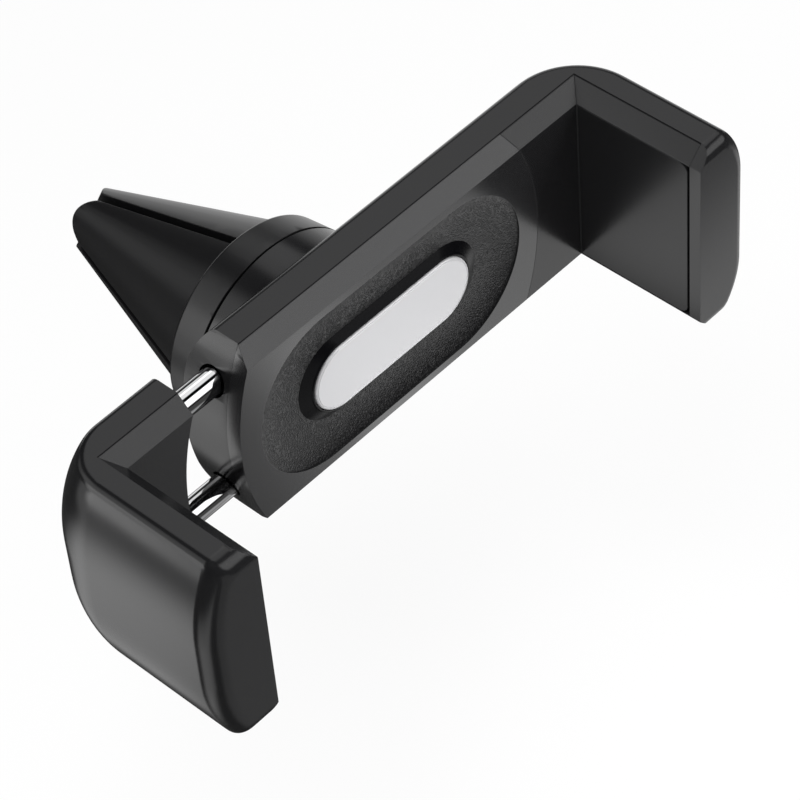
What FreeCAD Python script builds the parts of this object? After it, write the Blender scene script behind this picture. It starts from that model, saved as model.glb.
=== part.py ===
import FreeCAD, Part
import math
import os
from collections import namedtuple

os.makedirs("parts", exist_ok=True)

# Phone holder for a car's air vent: a sprung two-jaw cradle on a turning clip.
# Millimetres. x runs along the slide towards the fixed jaw, with 0 on the clip's
# axis. y runs back into the vent, with 0 on the cradle's front face. z is up, with
# 0 at mid height. save() moves every piece so that the origin is at the root of
# the clip's slots, where the vent's blade sits.

# Cradle section
BODY_HEIGHT = 28.3
RIM_BEVEL = 2.1
EDGE_ROUNDING = 1.4
SHELL_WALL = 1.2
LIP_WALL = 1.6
LIP_STEPS = 6

# Cradle plan
CLIP_TO_JAW = 40.45
CLIP_TO_END = 16.3
END_CURVE_RADIUS = 30.6
FIXED_JAW_REACH = 18.3
FIXED_JAW_THICKNESS = 8.25
FIXED_CORNER_RADIUS = 11.0
FIXED_LIP_ROUNDING = 1.6
FIXED_SHOULDER_RADIUS = 10.4
FIXED_SHOULDER_RISE = 7.3
MOVING_JAW_REACH = 19.1
MOVING_JAW_THICKNESS = 8.2
MOVING_CORNER_RADIUS = 9.6
MOVING_LIP_ROUNDING = 2.5
MOVING_SHOULDER_RADIUS = 23.0
MOVING_SHOULDER_RISE = 11.5
OPENING = 72.3
MOVING_PLATE_LENGTH = 7.3
MOVING_HORN_TRIM = 1.0
TONGUE_LENGTH = 3.0
TONGUE_THICKNESS = 1.2

# Guide rods, their bushes, the bar that joins them and the springs
ROD_DIAMETER = 3.3
ROD_EDGE_DISTANCE = 5.77
ROD_HOLD = 1.9
BUSH_WALL = 0.6
BUSH_LENGTH = 5.8
END_BLOCK_LENGTH = 9.4
BAR_THICKNESS = 5.0
BAR_SOCKET = 3.6
BAR_WALL = 0.5
BAR_FRONT_ROOM = 0.45
BAR_REAR_ROOM = 0.7
SPRING_WIRE = 0.4
SPRING_TURNS = 14
SPRING_PLAY = 0.1
SPRING_ROOM = 0.2

# Back pad and badge
PAD_CENTRE = 8.35
PAD_STRAIGHT = 21.0
PAD_MARGIN = 1.1
PAD_WIDTH = 5.08
PAD_END_WIDTH = 6.78
PAD_SEAT_DEPTH = 1.3
PAD_RIM_DROP = 0.12
DISH_DEPTH = 0.9
PEDESTAL_SLOPE = 0.9
PEDESTAL_END_SLOPE = 1.55
PEDESTAL_LEDGE = 0.42
PEDESTAL_TOP_DROP = 0.22
BADGE_THICKNESS = 0.45
BADGE_BEVEL = 0.12

# Jaw pads
JAW_PAD_THICKNESS = 0.8
JAW_PAD_EDGE = 0.15
JAW_PAD_CORNER = 1.2
JAW_PAD_GROOVE = 0.3

# Screws
SCREW_DIAMETER = 1.8
SCREW_HEAD_DIAMETER = 3.4
SCREW_HEAD_HEIGHT = 0.75
SCREW_LENGTH = 5.5
BOSS_DIAMETER = 4.4
JAW_SCREW_SPACING = 12.0
ROD_SCREW_DIAMETER = 1.6
ROD_SCREW_HEAD = 3.0
ROD_SCREW_HEAD_HEIGHT = 0.9
ROD_SCREW_DEPTH = 3.0

# Turning clip
NECK_INSET = 0.75
NECK_LENGTH = 1.3
COLLAR_LENGTH = 4.4
COLLAR_TAPER = 0.45
COLLAR_ROUNDING = 0.6
CONE_LENGTH = 37.4
CONE_SLOPE = 0.306
FINGER_LENGTH = 24.8
TIP_DROP = 6.0
SLOT_WIDTH = 1.1
SLOT_FLOOR = 0.85
HUB_RADIUS = 5.0
PIVOT_SCREW_DIAMETER = 3.0
PIVOT_HEAD_DIAMETER = 5.6
PIVOT_HEAD_HEIGHT = 2.0
PIVOT_SCREW_LENGTH = 7.2
PIVOT_WASHER_RADIUS = 6.1
PIVOT_WASHER_THICKNESS = 0.5
RING_OUTER_RADIUS = 11.0
RING_WIDTH = 2.8
RING_THICKNESS = 1.0

# Clearances
FIT = 0.01
RUNNING = 0.05
FREE = 0.3
SEAM_STEP = 0.12

# Derived sizes
HALF_HEIGHT = BODY_HEIGHT / 2
FACE_HALF = HALF_HEIGHT - RIM_BEVEL
PAD_RADIUS = FACE_HALF - PAD_MARGIN
PEDESTAL_BASE_RADIUS = PAD_RADIUS - PAD_WIDTH
PEDESTAL_STRAIGHT = PAD_STRAIGHT + 2 * (PAD_WIDTH - PAD_END_WIDTH)
PEDESTAL_TOP_RADIUS = PEDESTAL_BASE_RADIUS - PEDESTAL_SLOPE
BADGE_STRAIGHT = PEDESTAL_STRAIGHT + 2 * (PEDESTAL_SLOPE - PEDESTAL_END_SLOPE)
BADGE_RADIUS = PEDESTAL_TOP_RADIUS - PEDESTAL_LEDGE
NECK_RADIUS = HALF_HEIGHT - NECK_INSET
COLLAR_REAR_RADIUS = NECK_RADIUS - COLLAR_TAPER
ROD_RADIUS = ROD_DIAMETER / 2
ROD_Z = HALF_HEIGHT - ROD_EDGE_DISTANCE
BUSH_DIAMETER = ROD_DIAMETER + 2 * BUSH_WALL
BAR_HEIGHT = ROD_DIAMETER + 2 * BAR_WALL
SPRING_DIAMETER = ROD_DIAMETER + 2 * (SPRING_PLAY + SPRING_WIRE)
COVER_THICKNESS = RIM_BEVEL
ROD_DEPTH = COVER_THICKNESS + BAR_FRONT_ROOM + BAR_HEIGHT / 2
FLOOR = ROD_DEPTH + BAR_HEIGHT / 2 + BAR_REAR_ROOM
BODY_DEPTH = FLOOR + SHELL_WALL
NECK_REAR = BODY_DEPTH + NECK_LENGTH
COLLAR_FRONT = NECK_REAR + FREE
COLLAR_REAR = COLLAR_FRONT + COLLAR_LENGTH
SLOT_ROOT = COLLAR_REAR + SLOT_FLOOR
CONE_APEX = SLOT_ROOT + CONE_LENGTH
FINGER_TIP = SLOT_ROOT + FINGER_LENGTH
RING_INNER_RADIUS = RING_OUTER_RADIUS - RING_WIDTH
MOVING_JAW_X = CLIP_TO_JAW - OPENING
END_CURVE_X = END_CURVE_RADIUS - CLIP_TO_END
END_DROP = END_CURVE_RADIUS - math.sqrt(END_CURVE_RADIUS ** 2 - HALF_HEIGHT ** 2)
COVER_END = 2 * PAD_CENTRE + CLIP_TO_END
END_GAP = OPENING - CLIP_TO_JAW - MOVING_PLATE_LENGTH - CLIP_TO_END
CLOSING_TRAVEL = END_GAP - FREE
BLOCK_FACE = END_BLOCK_LENGTH - CLIP_TO_END
BAR_FAR_FACE = CLIP_TO_JAW - FREE - ROD_SCREW_HEAD_HEIGHT - CLOSING_TRAVEL
BAR_NEAR_FACE = BAR_FAR_FACE - BAR_THICKNESS
ROD_START = MOVING_JAW_X - ROD_HOLD
ROD_END = BAR_NEAR_FACE + BAR_SOCKET
HUB_FRONT = FLOOR - FREE
REACH_FAR = 200.0

V = FreeCAD.Vector
X_AXIS = V(1, 0, 0)
Y_AXIS = V(0, 1, 0)
Z_AXIS = V(0, 0, 1)

Side = namedtuple("Side", "reach thickness corner rounding shoulder rise")
FIXED = Side(FIXED_JAW_REACH, FIXED_JAW_THICKNESS, FIXED_CORNER_RADIUS, FIXED_LIP_ROUNDING,
             FIXED_SHOULDER_RADIUS, FIXED_SHOULDER_RISE)
MOVING = Side(MOVING_JAW_REACH, MOVING_JAW_THICKNESS, MOVING_CORNER_RADIUS, MOVING_LIP_ROUNDING,
              MOVING_SHOULDER_RADIUS, MOVING_SHOULDER_RISE)


def box(x0, x1, y0, y1, z0, z1):
    return Part.makeBox(x1 - x0, y1 - y0, z1 - z0, V(x0, y0, z0))


def rod_x(radius, x0, x1, y, z):
    return Part.makeCylinder(radius, x1 - x0, V(x0, y, z), X_AXIS)


def rod_y(radius, y0, y1, x=0.0, z=0.0):
    return Part.makeCylinder(radius, y1 - y0, V(x, y0, z), Y_AXIS)


def polygon_face(points):
    return Part.Face(Part.makePolygon(points + [points[0]]))


def stadium_wire(centre_x, straight, radius, y):
    left = centre_x - straight / 2
    right = centre_x + straight / 2
    top = Part.makeLine(V(left, y, radius), V(right, y, radius))
    right_arc = Part.Arc(V(right, y, radius), V(right + radius, y, 0), V(right, y, -radius)).toShape()
    bottom = Part.makeLine(V(right, y, -radius), V(left, y, -radius))
    left_arc = Part.Arc(V(left, y, -radius), V(left - radius, y, 0), V(left, y, radius)).toShape()
    return Part.Wire([top, right_arc, bottom, left_arc])


def stadium(centre_x, straight, radius, y0, y1):
    return Part.Face(stadium_wire(centre_x, straight, radius, y0)).extrude(V(0, y1 - y0, 0))


def revolve_y(points):
    profile = polygon_face([V(r, y, 0) for r, y in points])
    return profile.revolve(V(0, 0, 0), Y_AXIS, 360)


def fuse_all(first, others):
    return first.fuse(others).removeSplitter()


def save(shape, node):
    if not shape.isValid():
        raise ValueError(node + " is not a valid shape")
    moved = shape.copy()
    moved.translate(V(0, -SLOT_ROOT, 0))
    moved.exportStep("parts/" + node + ".step")


# The bracket: a plate that turns a rounded corner into a jaw. It is drawn with its
# jaw's inner face at x = 0 and the plate towards -x, then placed.

def section(side, inset):
    """Half section of a bracket: y out from the corner's axis, z up."""
    back = side.corner - inset
    half = HALF_HEIGHT - inset
    flat = HALF_HEIGHT - side.rise
    arc_radius = side.shoulder - inset
    rounding = EDGE_ROUNDING
    arc_y = back - arc_radius
    small_z = half - rounding
    small_y = arc_y + math.sqrt((arc_radius - rounding) ** 2 - (small_z - flat) ** 2)
    meet = math.atan2(small_z - flat, small_y - arc_y)

    def on_shoulder(angle, way):
        return V(0, arc_y + arc_radius * math.cos(angle), way * (flat + arc_radius * math.sin(angle)))

    def on_edge(angle, way):
        return V(0, small_y + rounding * math.cos(angle), way * (small_z + rounding * math.sin(angle)))

    edges = []
    for way in (-1, 1):
        between = (meet + math.pi / 2) / 2
        edges.append(Part.makeLine(V(0, 0, way * half), V(0, small_y, way * half)))
        edges.append(Part.Arc(V(0, small_y, way * half), on_edge(between, way), on_edge(meet, way)).toShape())
        edges.append(Part.Arc(on_edge(meet, way), on_shoulder(meet / 2, way), on_shoulder(0, way)).toShape())
    edges.append(Part.makeLine(V(0, back, -flat), V(0, back, flat)))
    edges.append(Part.makeLine(V(0, 0, half), V(0, 0, -half)))
    return Part.Face(Part.Wire(Part.__sortEdges__(edges)))


def corner_axis(side):
    return V(side.thickness - side.corner, BODY_DEPTH - side.corner, 0)


def plate_block(side, length, inset):
    axis = corner_axis(side)
    face = section(side, inset)
    face.translate(V(-length, axis.y, 0))
    return face.extrude(V(length + axis.x, 0, 0))


def corner_block(side, inset):
    face = section(side, inset)
    face.translate(corner_axis(side))
    return face.revolve(corner_axis(side), Z_AXIS, -90)


def jaw_block(side, inset, lip_inset):
    axis = corner_axis(side)
    face = section(side, inset)
    face.rotate(V(0, 0, 0), Z_AXIS, -90)
    face.translate(V(axis.x, lip_inset - side.reach, 0))
    return face.extrude(V(0, axis.y + side.reach - lip_inset, 0))


def lip_block(side):
    """The jaw's end, rounded over on every side but its open inner one."""
    wires = []
    for step in range(LIP_STEPS + 1):
        turn = math.pi / 2 * step / LIP_STEPS
        face = section(side, side.rounding * (1 - math.cos(turn)))
        face.rotate(V(0, 0, 0), Z_AXIS, -90)
        face.translate(V(corner_axis(side).x, side.rounding * (1 - math.sin(turn)) - side.reach, 0))
        wires.append(face.OuterWire)
    return Part.makeLoft(wires, True)


def bracket(side, length):
    blocks = [corner_block(side, 0), jaw_block(side, 0, side.rounding), lip_block(side)]
    return fuse_all(plate_block(side, length, 0), blocks)


def phone_space():
    """Room in front of the bracket, flared at 45 degrees along the rims."""
    flare = RIM_BEVEL + BODY_DEPTH
    wide = FACE_HALF + flare
    outline = [(0, -FACE_HALF), (0, FACE_HALF), (flare, wide), (-REACH_FAR, wide),
               (-REACH_FAR, -wide), (flare, -wide)]
    along_plate = polygon_face([V(-REACH_FAR, d, z) for d, z in outline])
    along_plate = along_plate.extrude(V(2 * REACH_FAR, 0, 0))
    along_jaw = polygon_face([V(d, -REACH_FAR, z) for d, z in outline])
    along_jaw = along_jaw.extrude(V(0, 2 * REACH_FAR, 0))
    return along_plate.common(along_jaw)


def cover_space(side, edge_step):
    """Room that the bracket's inner cover takes, up to the lip."""
    half = HALF_HEIGHT - edge_step
    return box(-REACH_FAR, COVER_THICKNESS, LIP_WALL - side.reach, COVER_THICKNESS, -half, half)


def jaw_screw_axes(side):
    middle = -(side.reach - LIP_WALL) / 2
    return [(middle, way * JAW_SCREW_SPACING / 2) for way in (-1, 1)]


def screw(depth):
    """Countersunk screw along +y, its head's top face at y = depth."""
    head = Part.makeCone(SCREW_HEAD_DIAMETER / 2, SCREW_DIAMETER / 2, SCREW_HEAD_HEIGHT, V(0, depth, 0), Y_AXIS)
    shank = rod_y(SCREW_DIAMETER / 2, depth + SCREW_HEAD_HEIGHT, depth + SCREW_LENGTH)
    recess = box(-SCREW_DIAMETER / 2, SCREW_DIAMETER / 2, depth, depth + SCREW_HEAD_HEIGHT / 2,
                 -SLOT_WIDTH / 4, SLOT_WIDTH / 4)
    cross = recess.copy()
    cross.rotate(V(0, 0, 0), Y_AXIS, 90)
    return fuse_all(head, [shank]).cut([recess, cross])


def screw_hole(depth):
    """Room for screw(): a countersink and a hole, open towards -y."""
    mouth = rod_y(SCREW_HEAD_DIAMETER / 2 + FIT, depth - FREE, depth)
    head = Part.makeCone(SCREW_HEAD_DIAMETER / 2 + FIT, SCREW_DIAMETER / 2 + FIT, SCREW_HEAD_HEIGHT,
                         V(0, depth, 0), Y_AXIS)
    shank = rod_y(SCREW_DIAMETER / 2 + FIT, depth, depth + SCREW_LENGTH + FREE)
    return fuse_all(mouth, [head, shank])


def at_jaw_screws(shape, side):
    placed = []
    for y, z in jaw_screw_axes(side):
        copy = shape.copy()
        copy.rotate(V(0, 0, 0), Z_AXIS, -90)
        copy.translate(V(0, y, z))
        placed.append(copy)
    return placed


def jaw_bosses(side):
    """Posts inside the jaw that the cover's screws hold in."""
    posts = [rod_x(BOSS_DIAMETER / 2, COVER_THICKNESS, side.thickness, y, z) for y, z in jaw_screw_axes(side)]
    return [post.common(jaw_block(side, SHELL_WALL / 2, SHELL_WALL / 2)) for post in posts]


def jaw_pad_shape(side, gap):
    """Flat pad in the jaw's face, with its two corners at the lip rounded."""
    start = LIP_WALL + JAW_PAD_GROOVE - gap - side.reach
    end = -JAW_PAD_EDGE + gap
    half = FACE_HALF - JAW_PAD_EDGE + gap
    pad = box(0, JAW_PAD_THICKNESS, start, end, -half, half)
    corners = []
    for edge in pad.Edges:
        ends = [vertex.Point for vertex in edge.Vertexes]
        along_x = abs(ends[0].x - ends[1].x) > JAW_PAD_THICKNESS / 2
        if along_x and abs(ends[0].y - start) < 1e-6:
            corners.append(edge)
    return pad.makeFillet(JAW_PAD_CORNER, corners)


def place_fixed(shape):
    moved = shape.copy()
    moved.translate(V(CLIP_TO_JAW, 0, 0))
    return moved


def place_moving(shape):
    moved = shape.mirror(V(0, 0, 0), X_AXIS)
    moved.translate(V(MOVING_JAW_X, 0, 0))
    return moved


# Fixed side

def end_curve_cut():
    """Everything beyond the plate's bulging end."""
    outside = box(-REACH_FAR, END_CURVE_X, -REACH_FAR, REACH_FAR, -REACH_FAR, REACH_FAR)
    return outside.cut(rod_y(END_CURVE_RADIUS, -REACH_FAR, REACH_FAR, END_CURVE_X))


def cover_screw_x():
    return (BLOCK_FACE - CLIP_TO_END) / 2 + SCREW_DIAMETER / 2


def rod_axes():
    return [("upper", ROD_Z), ("lower", -ROD_Z)]


def fixed_cavity():
    plate = plate_block(FIXED, CLIP_TO_JAW - BLOCK_FACE, SHELL_WALL)
    jaw = jaw_block(FIXED, SHELL_WALL, LIP_WALL)
    room = SPRING_DIAMETER / 2 + SPRING_ROOM
    channels = [rod_x(room, BLOCK_FACE, CLIP_TO_JAW, ROD_DEPTH, z) for name, z in rod_axes()]
    return fuse_all(place_fixed(fuse_all(plate, [corner_block(FIXED, SHELL_WALL), jaw])), channels)


def rear_housing():
    length = CLIP_TO_JAW + CLIP_TO_END
    shell = place_fixed(bracket(FIXED, length))
    neck = rod_y(NECK_RADIUS, ROD_DEPTH, NECK_REAR)
    shell = fuse_all(shell, [neck])
    shell = shell.cut([place_fixed(phone_space()), place_fixed(cover_space(FIXED, 0)),
                       fixed_cavity(), end_curve_cut()])
    shell = fuse_all(shell, [place_fixed(boss) for boss in jaw_bosses(FIXED)])
    holes = [rod_y(HUB_RADIUS + RUNNING, 0, NECK_REAR + FREE)]
    for name, z in rod_axes():
        holes.append(rod_x(ROD_RADIUS + FREE, -CLIP_TO_END - FREE, BLOCK_FACE, ROD_DEPTH, z))
        holes.append(rod_x(BUSH_DIAMETER / 2 + FIT, BLOCK_FACE - BUSH_LENGTH, BLOCK_FACE + FREE, ROD_DEPTH, z))
    holes.extend(cover_screw_tools(screw_hole(PAD_SEAT_DEPTH), screw_hole(JAW_PAD_THICKNESS)))
    return shell.cut(holes)


def cover_screw_tools(front, sideways):
    """A front screw's shape, and a side screw's, at the cover's three screw places."""
    middle = front.copy()
    middle.translate(V(cover_screw_x(), 0, 0))
    return [middle] + [place_fixed(shape) for shape in at_jaw_screws(sideways, FIXED)]


def jaw_cover(side, length):
    """Inner cover of a bracket, with the seat of its pad and the groove at its lip."""
    cover = bracket(side, length).common(cover_space(side, SEAM_STEP))
    lip = LIP_WALL - side.reach
    groove = box(-FREE, JAW_PAD_THICKNESS, lip, lip + JAW_PAD_GROOVE + JAW_PAD_CORNER,
                 JAW_PAD_EDGE - FACE_HALF, FACE_HALF - JAW_PAD_EDGE)
    tools = [phone_space(), jaw_pad_shape(side, FIT), groove]
    tools.extend(at_jaw_screws(screw_hole(JAW_PAD_THICKNESS), side))
    return cover.cut(tools)


def cover_tongues():
    """Two tongues on the front cover that the fixed jaw's cover holds down."""
    middle = COVER_END - END_DROP
    inner = ROD_Z + SPRING_DIAMETER / 2 + FREE
    outer = HALF_HEIGHT - SHELL_WALL - FIT
    upper = box(middle - TONGUE_LENGTH, middle + TONGUE_LENGTH, COVER_THICKNESS,
                COVER_THICKNESS + TONGUE_THICKNESS, inner, outer)
    return [upper, upper.mirror(V(0, 0, 0), Z_AXIS)]


def front_cover():
    """Cover of the plate, which bulges at both ends and carries the pad."""
    length = CLIP_TO_JAW + CLIP_TO_END
    cover = place_fixed(bracket(FIXED, length).common(cover_space(FIXED, SEAM_STEP)))
    seat = stadium(PAD_CENTRE, PAD_STRAIGHT, PAD_RADIUS + FIT, -FREE, PAD_SEAT_DEPTH)
    far_end_cut = end_curve_cut().mirror(V(PAD_CENTRE, 0, 0), X_AXIS)
    tools = [place_fixed(phone_space()), end_curve_cut(), far_end_cut, seat]
    tools.append(cover_screw_tools(screw_hole(PAD_SEAT_DEPTH), screw_hole(JAW_PAD_THICKNESS))[0])
    return fuse_all(cover.cut(tools), cover_tongues())


def fixed_jaw_cover():
    """Cover of the fixed jaw and its corner, hollowed to meet the front cover."""
    cover = place_fixed(jaw_cover(FIXED, CLIP_TO_JAW - COVER_END + END_DROP))
    return cover.cut(rod_y(END_CURVE_RADIUS + FIT, -REACH_FAR, REACH_FAR, COVER_END - END_CURVE_RADIUS))


def cover_screws():
    return Part.makeCompound(cover_screw_tools(screw(PAD_SEAT_DEPTH), screw(JAW_PAD_THICKNESS)))


def back_pad():
    """Oval pad, dished from its rim down to the pedestal."""
    pad = stadium(PAD_CENTRE, PAD_STRAIGHT, PAD_RADIUS, PAD_RIM_DROP, PAD_SEAT_DEPTH)
    rim = stadium_wire(PAD_CENTRE, PAD_STRAIGHT, PAD_RADIUS, PAD_RIM_DROP)
    base = stadium_wire(PAD_CENTRE, PEDESTAL_STRAIGHT, PEDESTAL_BASE_RADIUS, DISH_DEPTH)
    dish = Part.makeLoft([rim, base], True, True)
    hole = stadium(PAD_CENTRE, PEDESTAL_STRAIGHT, PEDESTAL_BASE_RADIUS + FIT, 0, PAD_SEAT_DEPTH)
    return pad.cut([dish, hole])


def badge_pedestal():
    foot = stadium(PAD_CENTRE, PEDESTAL_STRAIGHT, PEDESTAL_BASE_RADIUS, DISH_DEPTH, PAD_SEAT_DEPTH)
    base = stadium_wire(PAD_CENTRE, PEDESTAL_STRAIGHT, PEDESTAL_BASE_RADIUS, DISH_DEPTH)
    top = stadium_wire(PAD_CENTRE, BADGE_STRAIGHT, PEDESTAL_TOP_RADIUS, PEDESTAL_TOP_DROP)
    slope = Part.makeLoft([base, top], True, True)
    seat = stadium(PAD_CENTRE, BADGE_STRAIGHT, BADGE_RADIUS + FIT, 0, BADGE_THICKNESS)
    return fuse_all(foot, [slope]).cut(seat)


def badge_plate():
    plate = stadium(PAD_CENTRE, BADGE_STRAIGHT, BADGE_RADIUS, 0, BADGE_THICKNESS)
    rim = [edge for edge in plate.Edges if all(abs(vertex.Point.y) < 1e-6 for vertex in edge.Vertexes)]
    return plate.makeChamfer(BADGE_BEVEL, rim)


def fixed_jaw_pad():
    return place_fixed(jaw_pad_shape(FIXED, 0))


def rod_bush(z):
    outer = rod_x(BUSH_DIAMETER / 2, BLOCK_FACE - BUSH_LENGTH, BLOCK_FACE, ROD_DEPTH, z)
    return outer.cut(rod_x(ROD_RADIUS + RUNNING, -REACH_FAR, REACH_FAR, ROD_DEPTH, z))


# Moving side

def moving_end_cut():
    """The plate's hollow end, which takes the fixed plate's bulging one."""
    return rod_y(END_CURVE_RADIUS, -REACH_FAR, REACH_FAR, -MOVING_PLATE_LENGTH - END_CURVE_RADIUS)


def moving_plate_reach():
    return MOVING_PLATE_LENGTH + END_DROP - MOVING_HORN_TRIM


def moving_jaw():
    shell = bracket(MOVING, moving_plate_reach())
    front = box(-REACH_FAR, REACH_FAR, -REACH_FAR, -SHELL_WALL, -REACH_FAR, REACH_FAR)
    cavity = jaw_block(MOVING, SHELL_WALL, LIP_WALL).common(front)
    shell = shell.cut([phone_space(), cover_space(MOVING, 0), cavity, moving_end_cut()])
    shell = fuse_all(shell, jaw_bosses(MOVING))
    holes = at_jaw_screws(screw_hole(JAW_PAD_THICKNESS), MOVING)
    for name, z in rod_axes():
        holes.append(rod_x(ROD_RADIUS + FIT, -REACH_FAR, ROD_HOLD, ROD_DEPTH, z))
    return place_moving(shell.cut(holes))


def moving_jaw_cover():
    return place_moving(jaw_cover(MOVING, moving_plate_reach()).cut(moving_end_cut()))


def moving_jaw_screws():
    return place_moving(Part.makeCompound(at_jaw_screws(screw(JAW_PAD_THICKNESS), MOVING)))


def moving_jaw_pad():
    return place_moving(jaw_pad_shape(MOVING, 0))


def guide_rod(z):
    rod = rod_x(ROD_RADIUS, ROD_START, ROD_END, ROD_DEPTH, z)
    tapped = rod_x(ROD_SCREW_DIAMETER / 2 + FIT, ROD_END - ROD_SCREW_DEPTH - FREE, ROD_END + FREE, ROD_DEPTH, z)
    return rod.cut(tapped)


def crosshead():
    """Bar inside the housing that ties the two rods together."""
    radius = BAR_HEIGHT / 2
    ends = [rod_x(radius, BAR_NEAR_FACE, BAR_FAR_FACE, ROD_DEPTH, z) for name, z in rod_axes()]
    web = box(BAR_NEAR_FACE, BAR_FAR_FACE, ROD_DEPTH - radius, ROD_DEPTH + radius, -ROD_Z, ROD_Z)
    holes = []
    for name, z in rod_axes():
        holes.append(rod_x(ROD_RADIUS + FIT, BAR_NEAR_FACE - FREE, ROD_END, ROD_DEPTH, z))
        holes.append(rod_x(ROD_SCREW_DIAMETER / 2 + FIT, BAR_NEAR_FACE, BAR_FAR_FACE + FREE, ROD_DEPTH, z))
    return fuse_all(web, ends).cut(holes)


def rod_screws():
    made = []
    for name, z in rod_axes():
        head = rod_x(ROD_SCREW_HEAD / 2, BAR_FAR_FACE, BAR_FAR_FACE + ROD_SCREW_HEAD_HEIGHT, ROD_DEPTH, z)
        shank = rod_x(ROD_SCREW_DIAMETER / 2, ROD_END - ROD_SCREW_DEPTH, BAR_FAR_FACE, ROD_DEPTH, z)
        made.append(fuse_all(head, [shank]))
    return Part.makeCompound(made)


def jaw_spring(z):
    """Compression spring round a rod, from its bush to the crosshead."""
    wire_radius = SPRING_WIRE / 2
    coil_radius = (SPRING_DIAMETER - SPRING_WIRE) / 2
    start = BLOCK_FACE + wire_radius
    length = BAR_NEAR_FACE - BLOCK_FACE - SPRING_WIRE
    helix = Part.makeHelix(length / SPRING_TURNS, length, coil_radius)
    circle = Part.Wire(Part.makeCircle(wire_radius, V(coil_radius, 0, 0), Y_AXIS))
    coil = Part.Wire(helix).makePipeShell([circle], True, True)
    coil.rotate(V(0, 0, 0), Y_AXIS, 90)
    coil.translate(V(start, ROD_DEPTH, z))
    return coil


# Turning clip

def cone_radius(y):
    return CONE_SLOPE * (CONE_APEX - y)


def clip_core():
    """Hub, collar and the solid root of the cone."""
    shoulder = cone_radius(COLLAR_REAR)
    core = revolve_y([
        (0, HUB_FRONT),
        (HUB_RADIUS, HUB_FRONT),
        (HUB_RADIUS, COLLAR_FRONT),
        (NECK_RADIUS, COLLAR_FRONT),
        (COLLAR_REAR_RADIUS, COLLAR_REAR),
        (shoulder, COLLAR_REAR),
        (cone_radius(SLOT_ROOT), SLOT_ROOT),
        (0, SLOT_ROOT),
    ])
    rim = [edge for edge in core.Edges
           if edge.Closed and abs(edge.Vertexes[0].Point.y - COLLAR_REAR) < 1e-6
           and abs(edge.Curve.Radius - COLLAR_REAR_RADIUS) < 1e-6]
    return core.makeFillet(COLLAR_ROUNDING, rim)


def finger():
    """One quarter of the split cone, with a rounded tip."""
    half_slot = SLOT_WIDTH / 2
    round_y = FINGER_TIP - TIP_DROP
    half_width = (cone_radius(round_y) - half_slot) / math.sqrt(2)
    cone = revolve_y([(0, SLOT_ROOT), (cone_radius(SLOT_ROOT), SLOT_ROOT),
                      (cone_radius(FINGER_TIP), FINGER_TIP), (0, FINGER_TIP)])
    quarter = box(half_slot, REACH_FAR, SLOT_ROOT, FINGER_TIP, half_slot, REACH_FAR)
    below = box(0, REACH_FAR, SLOT_ROOT, round_y, 0, REACH_FAR)
    tip = Part.makeCylinder(half_width, REACH_FAR, V(0, 0, 0), V(1, 0, 1))
    stretch = FreeCAD.Matrix()
    stretch.scale(1, TIP_DROP / half_width, 1)
    tip = tip.transformGeometry(stretch)
    tip.translate(V(0, round_y, 0))
    return cone.common(quarter).common(fuse_all(below, [tip]))


def vent_clip():
    fingers = []
    for turn in range(4):
        shape = finger()
        shape.rotate(V(0, 0, 0), Y_AXIS, 90 * turn)
        fingers.append(shape)
    clip = fuse_all(clip_core(), fingers)
    ring_seat = rod_y(RING_OUTER_RADIUS + FIT, COLLAR_FRONT - FREE, NECK_REAR + RUNNING + RING_THICKNESS)
    ring_seat = ring_seat.cut(rod_y(RING_INNER_RADIUS - FIT, 0, COLLAR_REAR))
    screw_end = HUB_FRONT - PIVOT_WASHER_THICKNESS + PIVOT_SCREW_LENGTH
    screw_bore = rod_y(PIVOT_SCREW_DIAMETER / 2 + FIT, 0, screw_end + FREE)
    return clip.cut([ring_seat, screw_bore])


def friction_ring():
    front = NECK_REAR + RUNNING
    ring = rod_y(RING_OUTER_RADIUS, front, front + RING_THICKNESS)
    return ring.cut(rod_y(RING_INNER_RADIUS, 0, COLLAR_REAR))


def pivot_washer():
    washer = rod_y(PIVOT_WASHER_RADIUS, HUB_FRONT - PIVOT_WASHER_THICKNESS, HUB_FRONT)
    return washer.cut(rod_y(PIVOT_SCREW_DIAMETER / 2 + FIT, 0, COLLAR_REAR))


def pivot_screw():
    seat = HUB_FRONT - PIVOT_WASHER_THICKNESS
    head = rod_y(PIVOT_HEAD_DIAMETER / 2, seat - PIVOT_HEAD_HEIGHT, seat)
    shank = rod_y(PIVOT_SCREW_DIAMETER / 2, seat, seat + PIVOT_SCREW_LENGTH)
    return fuse_all(head, [shank])


def main():
    save(rear_housing(), "rear_housing")
    save(front_cover(), "front_cover")
    save(fixed_jaw_cover(), "fixed_jaw_cover")
    save(cover_screws(), "cover_screws")
    save(back_pad(), "back_pad")
    save(badge_pedestal(), "badge_pedestal")
    save(badge_plate(), "badge_plate")
    save(fixed_jaw_pad(), "fixed_jaw_pad")
    save(moving_jaw(), "moving_jaw")
    save(moving_jaw_cover(), "moving_jaw_cover")
    save(moving_jaw_screws(), "moving_jaw_screws")
    save(moving_jaw_pad(), "moving_jaw_pad")
    for name, z in rod_axes():
        save(rod_bush(z), "rod_bush_" + name)
        save(guide_rod(z), "guide_rod_" + name)
        save(jaw_spring(z), "jaw_spring_" + name)
    save(crosshead(), "crosshead")
    save(rod_screws(), "rod_screws")
    save(vent_clip(), "vent_clip")
    save(friction_ring(), "friction_ring")
    save(pivot_washer(), "pivot_washer")
    save(pivot_screw(), "pivot_screw")


main()
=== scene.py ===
"""Looks of the air vent phone holder: finishes, moulded details, springs, stage and camera."""

import math

import bmesh
import bpy
from mathutils import Matrix, Vector


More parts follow.
